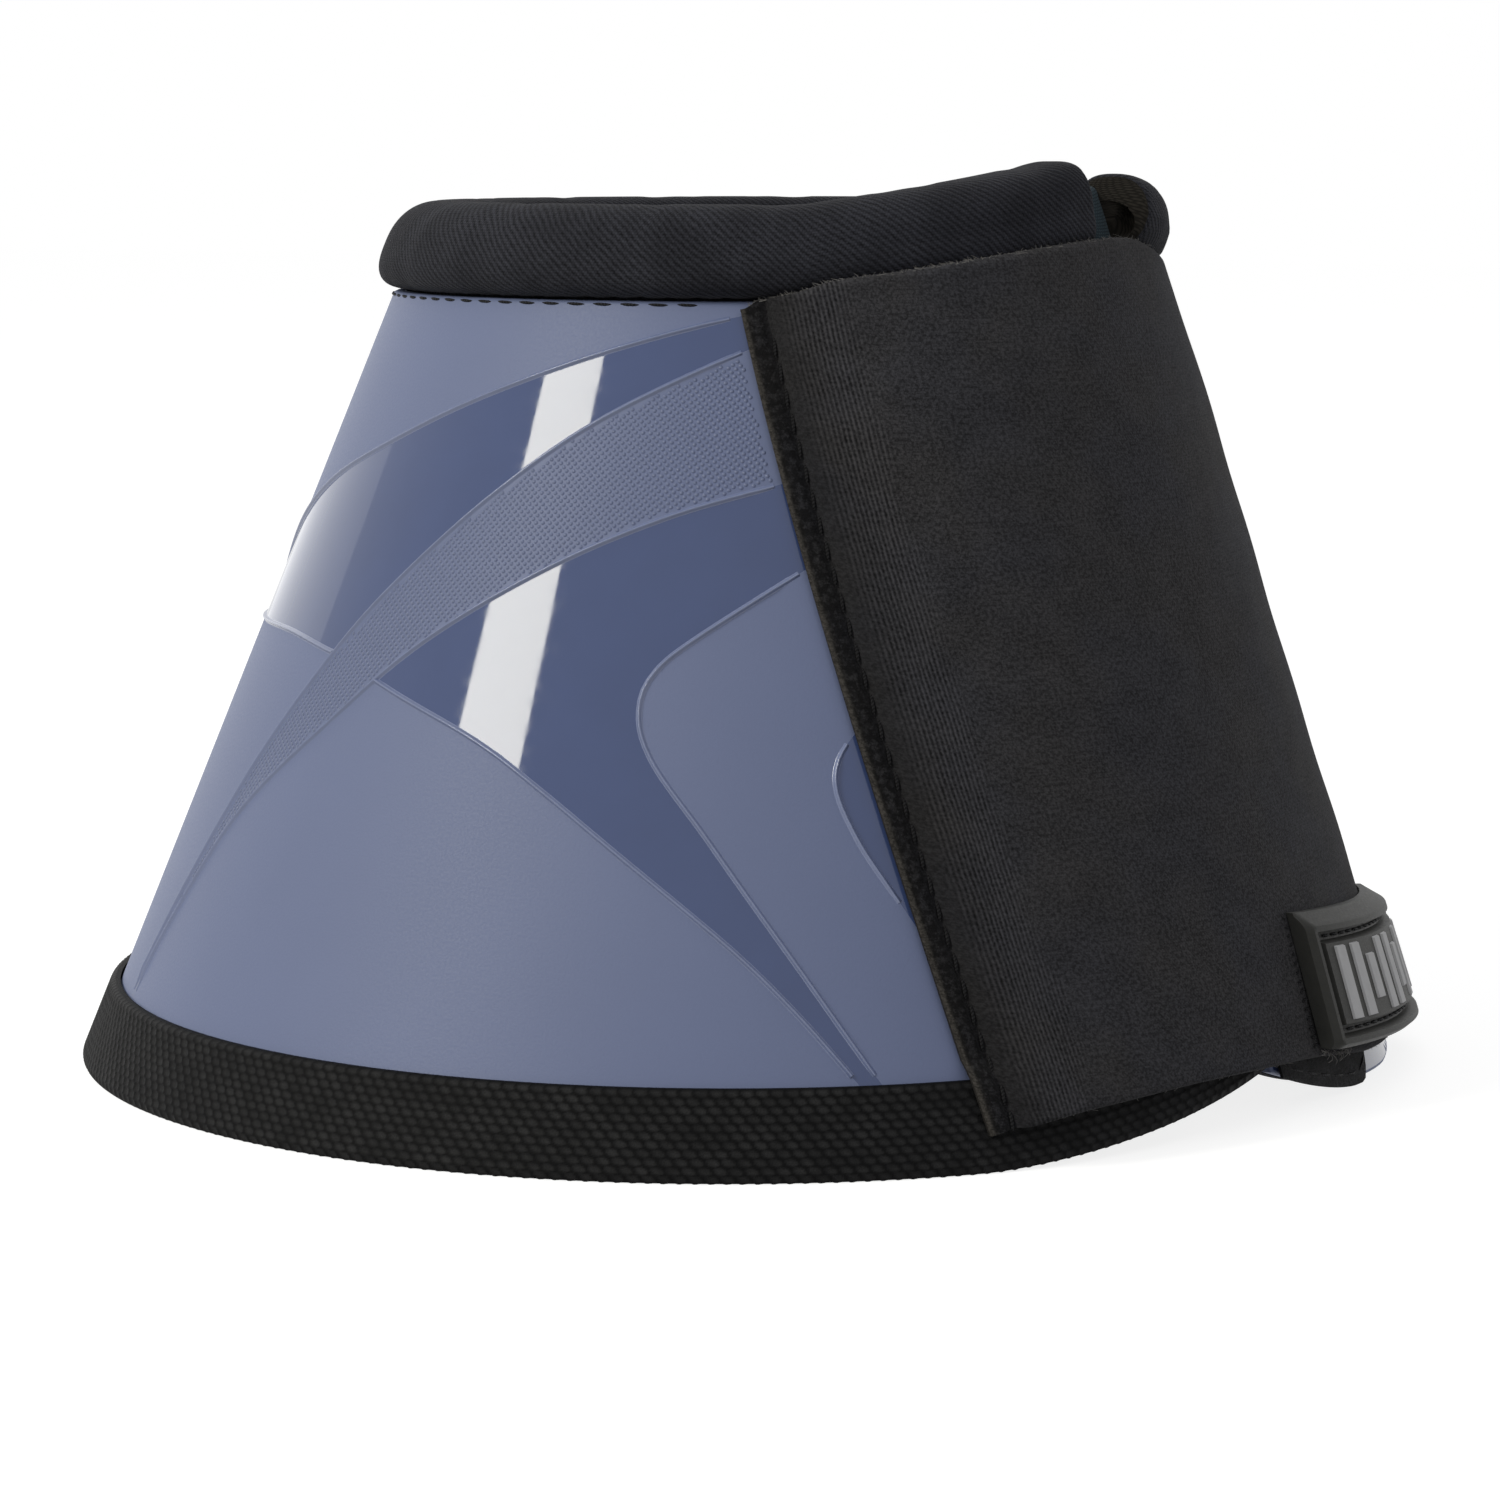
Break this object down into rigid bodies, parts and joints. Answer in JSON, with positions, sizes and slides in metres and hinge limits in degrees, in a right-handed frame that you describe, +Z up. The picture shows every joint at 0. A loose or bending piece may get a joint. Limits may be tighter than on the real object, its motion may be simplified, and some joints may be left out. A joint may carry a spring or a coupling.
{
  "type": "overreach boot",
  "caption": "Bell-shaped overreach boot for a horse's hoof: moulded C-shaped shell, rolled soft collar, bound lower edge and one hinged hook-and-loop closure flap.",
  "frame": {"origin": "on the ground, under the middle of the boot's bounding box", "axes": "+Z up along the bell, +X out through the closure, so the flap wraps the +X side from its root on the -Y side"},
  "size_m": [0.1843, 0.179, 0.1224],
  "materials": {
    "shell_plastic": "satin blue-grey TPU with gloss bands",
    "lining_foam": "jersey-faced neoprene",
    "collar_fabric": "ribbed stretch knit",
    "collar_foam": "closed-cell foam",
    "binding_tape": "woven nylon tape",
    "flap_fabric": "brushed stretch knit over foam",
    "loop_fabric": "loop pile",
    "hook_tape": "nylon hooks",
    "badge_rubber": "satin moulded rubber",
    "badge_grey": "matt light grey moulded rubber"
  },
  "bodies": {
    "boot": {"moulded_shell": "shell_plastic", "neoprene_lining": "lining_foam", "collar_cover": "collar_fabric", "collar_core": "collar_foam", "collar_end_tab": "collar_fabric", "bottom_binding": "binding_tape", "flap_root_strip": "flap_fabric", "loop_pad": "loop_fabric"},
    "flap": {"closure_flap": "flap_fabric", "hook_tape_front": "hook_tape", "hook_tape_rear": "hook_tape", "badge_base": "badge_rubber", "badge_inlay": "badge_grey"}
  },
  "joints": [
    {"name": "flap_peel", "type": "hinge", "parent": "boot", "child": "flap", "pos_m": [0.04447, -0.05921, 0.05455], "axis": [0.3722, -0.1139, -0.9211], "range_deg": [0, 165]}
  ]
}
